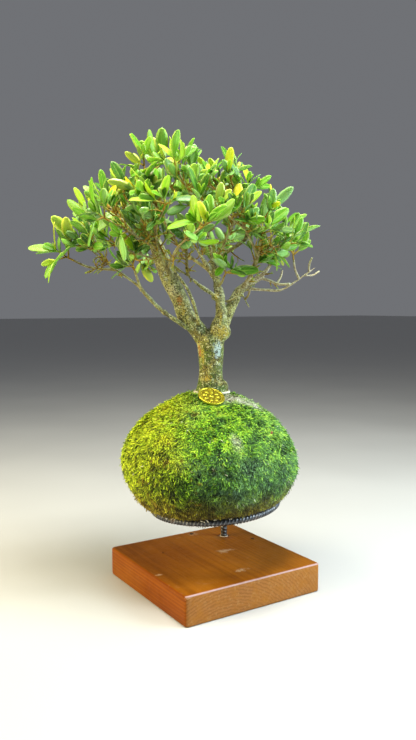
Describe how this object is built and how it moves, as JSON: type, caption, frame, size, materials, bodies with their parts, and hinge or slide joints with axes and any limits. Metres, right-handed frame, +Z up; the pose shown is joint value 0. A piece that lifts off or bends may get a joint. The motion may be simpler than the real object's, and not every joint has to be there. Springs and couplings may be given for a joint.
{
  "type": "moss ball plant on a steel ring and wooden block",
  "caption": "Small tree rooted in a round moss ball, held by a ribbed steel ring on a post in a square wooden block.",
  "frame": {"origin": "middle of the wooden block's underside", "axes": "+Z up, X and Y along the block's sides; the plant's best side faces -Y turned 32.6 degrees clockwise seen from above"},
  "size_m": [0.2436, 0.2376, 0.4421],
  "materials": {
    "varnished_wood": "gloss",
    "ribbed_steel": "satin",
    "soil": "matte",
    "moss": "matte",
    "bark": "matte",
    "leaf": "satin",
    "gold_disc": "polished"
  },
  "bodies": {
    "root": {"base_block": "varnished_wood", "foot_disc": "gold_disc", "leaf_spray_01": "leaf", "leaf_spray_02": "leaf", "leaf_spray_03": "leaf", "leaf_spray_04": "leaf", "leaf_spray_05": "leaf", "leaf_spray_06": "leaf", "leaf_spray_07": "leaf", "leaf_spray_08": "leaf", "leaf_spray_09": "leaf", "leaf_spray_10": "leaf", "leaf_spray_11": "leaf", "leaf_spray_12": "leaf", "leaf_spray_13": "leaf", "leaf_spray_14": "leaf", "leaf_spray_15": "leaf", "leaf_spray_16": "leaf", "leaf_spray_17": "leaf", "leaf_spray_18": "leaf", "leaf_spray_19": "leaf", "leaf_spray_20": "leaf", "leaf_spray_21": "leaf", "leaf_spray_22": "leaf", "leaf_spray_23": "leaf", "leaf_spray_24": "leaf", "leaf_spray_25": "leaf", "leaf_spray_26": "leaf", "leaf_spray_27": "leaf", "leaf_spray_28": "leaf", "leaf_spray_29": "leaf", "leaf_spray_30": "leaf", "leaf_spray_31": "leaf", "leaf_spray_32": "leaf", "leaf_spray_33": "leaf", "leaf_spray_34": "leaf", "leaf_spray_35": "leaf", "leaf_spray_36": "leaf", "leaf_spray_37": "leaf", "leaf_spray_38": "leaf", "leaf_spray_39": "leaf", "leaf_spray_40": "leaf", "leaf_spray_41": "leaf", "leaf_spray_42": "leaf", "leaf_spray_43": "leaf", "leaf_spray_44": "leaf", "leaf_spray_45": "leaf", "leaf_spray_46": "leaf", "moss_skin": "moss", "rebar_post": "ribbed_steel", "rebar_ring": "ribbed_steel", "soil_core": "soil", "tree_wood": "bark"}
  },
  "joints": []
}
